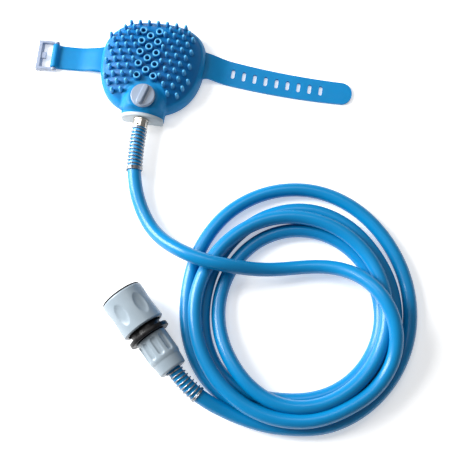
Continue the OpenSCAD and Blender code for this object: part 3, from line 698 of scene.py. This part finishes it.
# Hollow spray nozzles with rounded lips
# the third figure of each point is its share of painted highlight, most on the lip
NOZZLE = [(4.0, -0.5, 0), (3.6, 0.1, 0), (3.42, 0.8, 0), (3.36, 3.2, 0.2), (3.3, 4.0, 0.6),
          (3.06, 4.45, 0.9), (2.66, 4.66, 1), (2.24, 4.6, 1), (1.9, 4.3, 0.7), (1.72, 3.8, 0.2),
          (1.62, 2.6, 0.2), (1.6, -3.0, 0.5)]
NOZZLE_Y, NOZZLE_PITCH, COLUMN_GAP = 4.5, 10.8, 7
nozzles = [(FIELD_X0 + side * COLUMN_GAP, NOZZLE_Y + k * NOZZLE_PITCH)
           for side in (-1, 1) for k in range(-2, 3)]
nozzles += [(FIELD_X0, NOZZLE_Y + (k - 1.5) * NOZZLE_PITCH) for k in range(4)]
standing = [(NUB, 14, x, y) for x, y in nub_places()]
standing += [(NOZZLE, 28, *turned(x, y, PAD_TURN)) for x, y in nozzles]
for profile, sides, x, y in standing:
    base = float(cover_height(np.array(x), np.array(y)))
    cover_points, cover_faces, tip_highlight = add_turned(cover_points, cover_faces, tip_highlight, profile, sides,
                                                 (x, y, base))

# UV X holds the share of painted highlight, and UV Y the painted shade of the sunken field: nubs
# and nozzles count as sunken and take that painted shade too
field_shade = np.append(field_shade, np.ones(len(tip_highlight) - len(field_shade)))
piece("pad_cover", cover_points, cover_faces, "silicone", "root", "silicone_cover", crease=50,
      uv=np.stack([tip_highlight, field_shade], 1))


# ---- straps ---------------------------------------------------------------------------
STRAP_T, STRAP_X0, STRAP_COLUMNS = 2.4, 38, 9
SLOT_W, SLOT_L, SLOT_R, SLOT_PITCH, SLOT_LAST, SLOTS, TIP_X = 3.0, 8.7, 1.3, 9.75, 148.5, 9, 176
ROOT_Z, DROP_START, DROP_END = 4.4, 44, 68      # a strap leaves the pad above the floor
BOW_Y, BOW, BOW_X, BOW_SPAN = 4, 7, 140, 96
FLARE, FLARE_END, FLARE_SPAN = 4, 51, 8
ROOT_W, NARROWER, ROOT_X, NARROW_SPAN = 23, 3, 45, 122


def drop_z(x):
    """Height of a strap's underside, at a distance from the pad's middle."""
    t = (min(DROP_END, max(DROP_START, x)) - DROP_START) / (DROP_END - DROP_START)
    return ROOT_Z * (1 + math.cos(math.pi * t)) / 2


def mid_y(x):
    """The long strap's middle line, slightly curved."""
    return BOW_Y + BOW * ((x - BOW_X) / BOW_SPAN) ** 2


def flare(x):
    """How much wider a strap is where it joins the pad."""
    return FLARE * min(1, max(0, (FLARE_END - x) / FLARE_SPAN)) ** 2


def half_w(x):
    """Half the long strap's width, which narrows towards its tip."""
    return (ROOT_W - NARROWER * (x - ROOT_X) / NARROW_SPAN) / 2


def bevelled(obj, width, segments):
    """Rounds an object's sharp edges."""
    mod = obj.modifiers.new("rounding", "BEVEL")
    mod.width = width * MM
    mod.segments = segments
    mod.limit_method = "ANGLE"
    mod.angle_limit = math.radians(40)
    mod.harden_normals = True


def slot_point(way, grow):
    """Where a ray from a slot's middle leaves the slot, widened by grow."""
    across, along = SLOT_W / 2 + grow * 0.8, SLOT_L / 2 + grow
    q = way * np.array((across, along))
    r = min(SLOT_R + grow, across * 0.98)
    cx, cy = max(0, abs(q[0]) - (across - r)), max(0, abs(q[1]) - (along - r))
    if cx > 0 and cy > 0:
        s = r / math.hypot(cx, cy) if math.hypot(cx, cy) > r else 1
        q = np.array((math.copysign(across - r + cx * s, q[0]),
                      math.copysign(along - r + cy * s, q[1])))
    return q


def long_strap():
    """Top face of the long strap: rows across it, a rounded slot in each cell, a round tip."""
    across = np.linspace(-1, 1, STRAP_COLUMNS)
    first_cell = SLOT_LAST - (SLOTS - 0.5) * SLOT_PITCH
    points, faces = [], []

    def vertex(x, y):
        points.append((x, y, drop_z(x) + STRAP_T))
        return len(points) - 1

    def column(x):
        low, high = mid_y(x) - half_w(x) - flare(x), mid_y(x) + half_w(x)
        return [vertex(x, (low + high) / 2 + v * (high - low) / 2) for v in across]

    def bridge(last, new):
        for k in range(STRAP_COLUMNS - 1):
            faces.append((last[k], new[k], new[k + 1], last[k + 1]))
        return new

    xs = np.linspace(STRAP_X0, first_cell, 24)
    last = column(xs[0])
    for x in xs[1:]:
        last = bridge(last, column(x))
    for cell in range(SLOTS):
        x0 = first_cell + cell * SLOT_PITCH
        x1, xm = x0 + SLOT_PITCH, x0 + SLOT_PITCH / 2
        new = column(x1)
        xs = [x0 + f * SLOT_PITCH for f in (0.25, 0.5, 0.75)]
        tops = [vertex(x, mid_y(x) + half_w(x)) for x in xs]
        lows = [vertex(x, mid_y(x) - half_w(x)) for x in xs]
        outer = new + tops[::-1] + last[::-1] + lows
        ring_points = [np.array(points[v][:2]) for v in outer]
        mid = np.array((xm, mid_y(xm)))
        rings = [outer]
        for grow in (1.5, 0.55, 0.0):
            ring = []
            for p in ring_points:
                way = (p - mid) / np.array((SLOT_PITCH / 2, half_w(xm)))
                ring.append(vertex(*(mid + slot_point(way / max(abs(way)), grow))))
            rings.append(ring)
        count = len(outer)
        for a, b in zip(rings, rings[1:]):
            for k in range(count):
                faces.append((a[k], a[(k + 1) % count], b[(k + 1) % count], b[k]))
        last = new
    x0 = first_cell + SLOTS * SLOT_PITCH
    centre_x = TIP_X - half_w(TIP_X - 10)
    for x in np.linspace(x0, centre_x, 6)[1:]:
        last = bridge(last, column(x))
    r = half_w(centre_x)
    for share in np.sin(np.linspace(0, math.pi / 2, 9))[1:-1]:
        x = centre_x + r * share
        half = r * math.sqrt(1 - share ** 2.2)      # a little blunter than a half circle
        last = bridge(last, [vertex(x, mid_y(centre_x) + v * half) for v in across])
    tip = vertex(TIP_X, mid_y(centre_x))
    for k in range(STRAP_COLUMNS - 1):
        faces.append((last[k], tip, last[k + 1]))
    return points, faces


points, faces = long_strap()
strap = piece("strap_long", points, faces, "silicone", "root", "silicone_cover")
thicken = strap.modifiers.new("thickness", "SOLIDIFY")
thicken.thickness = STRAP_T * MM
thicken.offset = -1
thicken.use_even_offset = True
bevelled(strap, 0.4, 3)

PIN_X, PIN_Z, LOOP_R = 87.5, 3.2, 3.2
SHORT_HALF_W, SHORT_Y, SHORT_TURN = 11, 4.75, 3.5
short_frame = (Matrix.Translation((0, SHORT_Y * MM, 0))
               @ Matrix.Rotation(math.radians(SHORT_TURN), 4, "Z"))


def short_strap():
    """The short strap's section, with its loop round the pin, drawn across its width."""
    section = [(-x, drop_z(x) + STRAP_T) for x in np.linspace(STRAP_X0, PIN_X - 5.5, 26)]
    # the strap rises to its loop, goes round the pin and comes back underneath
    section += [(-(PIN_X - 4.4), 2.6), (-(PIN_X - 3.6), 3.2), (-(PIN_X - 2.9), 4.3)]
    section += [(-PIN_X - LOOP_R * math.sin(a), PIN_Z + LOOP_R * math.cos(a))
                for a in np.radians(np.arange(-38, 181, 12))]
    section += [(-x, drop_z(x)) for x in np.linspace(PIN_X - 1, STRAP_X0, 26)]
    sec = np.array(section[::-1])
    # shares of the half width, and how far the section is drawn in there: round edges
    widths = [-1, -0.965, -0.9, -0.5, 0, 0.5, 0.9, 0.965, 1]
    inset = [0.75, 0.22, 0, 0, 0, 0, 0, 0.22, 0.75]
    tangent = np.gradient(sec, axis=0)
    normal = np.stack([tangent[:, 1], -tangent[:, 0]], 1)
    normal /= np.linalg.norm(normal, axis=1)[:, None]
    points = []
    for w, i in zip(widths, inset):
        for (x, z), n in zip(sec, normal):
            half = SHORT_HALF_W + flare(-x) / 2
            points.append((x + n[0] * i, w * half, z + n[1] * i))
    size = len(widths), len(sec)
    return points, grid_faces(*size) + end_faces(*size)


points, faces = short_strap()
piece("strap_short", points, faces, "silicone", "root", "silicone_cover", short_frame, crease=60)


# ---- knob, end cap, ferrule -----------------------------------------------------------
def box_ring(half_x, half_y, radius, steps=6):
    """Outline of a rectangle with round corners."""
    out = []
    for cx, cy, start in ((1, 1, 0), (-1, 1, 90), (-1, -1, 180), (1, -1, 270)):
        for i in range(steps + 1):
            a = math.radians(start + 90 * i / steps)
            out.append((cx * (half_x - radius) + radius * math.cos(a),
                        cy * (half_y - radius) + radius * math.sin(a)))
    return out


def loft(rings):
    """Points and faces through rings of equally many points, closed at both ends."""
    size = len(rings), len(rings[0])
    return [p for ring in rings for p in ring], grid_faces(*size) + end_faces(*size)


KNOB_R, KNOB_Z0, KNOB_Z1, GRIP_TOP, KNOB_TURN = 10.4, 24.5, 28.2, 31.5, 14
knob_place = (Matrix.Translation((0, VALVE_Y * MM, 0))
              @ Matrix.Rotation(math.radians(-KNOB_TURN), 4, "Z"))
disc = rounded([(4.05, 27.6), (4.05, KNOB_Z0), (KNOB_R - 0.2, KNOB_Z0), (KNOB_R, 26.4),
                (KNOB_R - 0.15, KNOB_Z1 - 0.5), (9.7, KNOB_Z1), (0.01, KNOB_Z1 - 0.05)], 0.5)
points, faces = lathe(disc, 96)
# The grip bar's half sizes and height, from its foot to its top
levels = [(2.95, 9.35, KNOB_Z1 - 0.6), (2.9, 9.3, KNOB_Z1 - 0.3), (2.62, 9.1, 29.2),
          (2.42, 8.95, 30.6), (2.2, 8.75, 31.15), (1.85, 8.4, 31.42), (1.4, 7.9, GRIP_TOP)]
rings = [[(x, y, z) for x, y in box_ring(hx, hy, min(hx * 0.8, 2.0))] for hx, hy, z in levels]
grip_points, grip_faces = loft(rings)
faces += moved_on(grip_faces, len(points))
points += grip_points
piece("on_off_knob", points, faces, "knob_plastic", "knob", "knob", knob_place, crease=45)


def arch_outline(w, h, inset, count=40):
    """Outline of the neck's arched plate, in X and Z, made smaller by inset."""
    w, h = w - inset, h - inset
    rise = 0.5 * w
    r = (w * w + rise * rise) / (2 * rise)
    out = [(-w + 1.2, inset), (w - 1.2, inset), (w - 0.35, inset + 0.35), (w, inset + 1.2)]
    a0 = math.asin(w / r)
    for i in range(count + 1):
        a = a0 - 2 * a0 * i / count
        out.append((r * math.sin(a), h - r + r * math.cos(a)))
    out += [(-w, inset + 1.2), (-w + 0.35, inset + 0.35)]
    return out


CAP_W, CAP_H, CAP_HOLE_R = 18.1, 19.4, 5.7
plate = [(0.0, NECK_END), (0.0, -49.6), (0.15, -50.1), (0.45, -50.4), (0.9, CAP_FACE)]
rings = [[(x, y, z) for x, z in arch_outline(CAP_W, CAP_H, inset)] for inset, y in plate]
rings.append([(x * 0.6, CAP_FACE, INLET_Z + (z - INLET_Z) * 0.6) for x, y, z in rings[-1]])
angles = [math.atan2(z - INLET_Z, x) for x, y, z in rings[-1]]
for r, y in ((CAP_HOLE_R + 0.3, CAP_FACE), (CAP_HOLE_R, CAP_FACE + 0.2), (CAP_HOLE_R, NECK_END)):
    rings.append([(r * math.cos(a), y, INLET_Z + r * math.sin(a)) for a in angles])
points = [p for ring in rings for p in ring]
faces = grid_faces(len(rings), len(rings[0]))
piece("neck_end_cap", points, faces, "white_plastic", "root", "end_cap", crease=40)

inlet = axes((1, 0, 0), (0, 0, 1), (0, -1, 0), (0, 0, INLET_Z))
ferrule = rounded([(5.9, 50.6), (6.2, 50.6), (6.55, 50.6), (6.7, 51.2), (6.7, 52.1), (6.55, 52.5),
                   (6.55, 57.0), (6.7, 57.5), (6.7, 58.6), (6.4, 59), (5.9, 59), (5.85, 58),
                   (5.85, 50.6)], 0.35)
points, faces = lathe(ferrule, 72)
piece("hose_ferrule", points, faces, "nickel", "root", "head_ferrule", inlet)


# ---- buckle ---------------------------------------------------------------------------
def prism(points, faces, x0, x1, y0, y1, z0, z1, taper=0.0):
    """Adds a bar whose top is narrower along X than its foot."""
    sides = ((0, 3, 2, 1), (4, 5, 6, 7), (0, 1, 5, 4), (1, 2, 6, 5), (2, 3, 7, 6), (3, 0, 4, 7))
    faces += moved_on(sides, len(points))
    points += [(x, y, z) for z, t in ((z0, 0.0), (z1, taper))
               for x, y in ((x0 + t, y0), (x1 - t, y0), (x1 - t, y1), (x0 + t, y1))]


def buckle():
    """The frame's parts round the pin: two arms with eyes, the far bar and its tab."""
    reach, far_w, half, bar, eye_r = 11.2, 5.3, 13.7, 2.2, 2.4
    points, faces = [], []
    for side in (-1, 1):
        y0, y1 = sorted((side * half, side * (half - bar)))
        prism(points, faces, -reach - far_w + 0.6, -0.4, y0, y1, -1.9, 1.9, 0.2)
        ring = [(eye_r * math.sin(a), eye_r * math.cos(a))
                for a in np.linspace(0, 2 * math.pi, 40, endpoint=False)]
        p, f = loft([[(x, y, z) for x, z in ring] for y in (y0, y1)])
        faces += moved_on(f, len(points))
        points += p
    prism(points, faces, -reach - far_w, -reach, -half, half, -PIN_Z, 1.8, 1.0)
    prism(points, faces, -reach - 0.8, -reach + 3.2, -3, 3, -1, 1)
    return points, faces


points, faces = buckle()
pin_frame = short_frame @ Matrix.Translation((-PIN_X * MM, 0, PIN_Z * MM))
clasp = piece("strap_buckle", points, faces, "buckle_plastic", "buckle", "buckle_frame", pin_frame)
remesh = clasp.modifiers.new("join", "REMESH")
remesh.mode = "VOXEL"
remesh.voxel_size = 0.28 * MM
remesh.use_smooth_shade = True
soften = clasp.modifiers.new("soften", "SMOOTH")
soften.factor = 0.5
soften.iterations = 4

pin = rounded([(0.01, -13.95), (1.2, -13.95), (1.5, -13.7), (1.5, 13.7), (1.2, 13.95),
               (0.01, 13.95)], 0.2)
points, faces = lathe(pin, 32)
pin_axis = pin_frame @ Matrix.Rotation(math.radians(-90), 4, "X")
piece("buckle_pin_rod", points, faces, "steel", "root", "buckle_pin", pin_axis)


# ---- CAD nodes that stay --------------------------------------------------------------
CAD_LOOKS = {
    "back_shell": "grey_plastic", "spray_shell": "white_plastic", "shell_gasket": "seal_rubber",
    "shell_screws": "steel", "valve_body": "white_plastic", "valve_plug": "brass",
    "valve_seals": "seal_rubber", "valve_bonnet": "white_plastic", "inlet_gasket": "seal_rubber",
    "inlet_tail": "brass", "grip_collet": "white_plastic", "connector_body": "black_plastic",
    "connector_seal": "seal_rubber", "lock_jaw_upper": "white_plastic",
    "lock_jaw_lower": "white_plastic",
}
for name, look in CAD_LOOKS.items():
    obj = nodes[name]
    obj.data.materials.clear()
    obj.data.materials.append(SLOT_LOOKS[look].material)
for name in ("connector_body", "back_shell"):
    weld = nodes[name].modifiers.new("weld", "WELD")
    weld.merge_threshold = 0.02 * MM
    bevelled(nodes[name], 0.35, 2)


# ---- floor and light ------------------------------------------------------------------
FLOOR_HALF, FLOOR_DROP = 3.0, 0.0002


def floor():
    mesh = bpy.data.meshes.new("floor")
    s = FLOOR_HALF
    mesh.from_pydata([(-s, -s, 0), (s, -s, 0), (s, s, 0), (-s, s, 0)], [], [(0, 1, 2, 3)])
    obj = bpy.data.objects.new("floor", mesh)
    obj.location.z = -FLOOR_DROP
    look = bpy.data.materials.new("floor")
    look.use_nodes = True
    bsdf = look.node_tree.nodes["Principled BSDF"]
    bsdf.inputs["Base Color"].default_value = (0.97, 0.97, 0.97, 1)
    bsdf.inputs["Roughness"].default_value = 0.7
    bsdf.inputs["Specular IOR Level"].default_value = 0.1
    bsdf.inputs["Emission Color"].default_value = (1, 1, 1, 1)
    bsdf.inputs["Emission Strength"].default_value = 0.4
    mesh.materials.append(look)
    scene.collection.objects.link(obj)


def area(name, at, aim, size, power):
    data = bpy.data.lights.new(name, "AREA")
    data.shape = "RECTANGLE"
    data.size, data.size_y = size
    data.energy = power
    obj = bpy.data.objects.new(name, data)
    obj.location = at
    obj.rotation_euler = (Vector(at) - Vector(aim)).to_track_quat("Z", "Y").to_euler()
    scene.collection.objects.link(obj)


floor()
area("key", (-1.25, 0.1, 0.7), (0.05, -0.1, 0), (0.8, 1.2), 56)
area("top", (-0.2, 0.5, 1.5), (0.08, -0.12, 0), (1.0, 0.6), 6)
world = bpy.data.worlds.new("world")
world.use_nodes = True
sky = world.node_tree.nodes["Background"]
sky.inputs["Color"].default_value = (0.97, 0.98, 1, 1)
sky.inputs["Strength"].default_value = 0.24
scene.world = world
scene.view_settings.view_transform = "Standard"
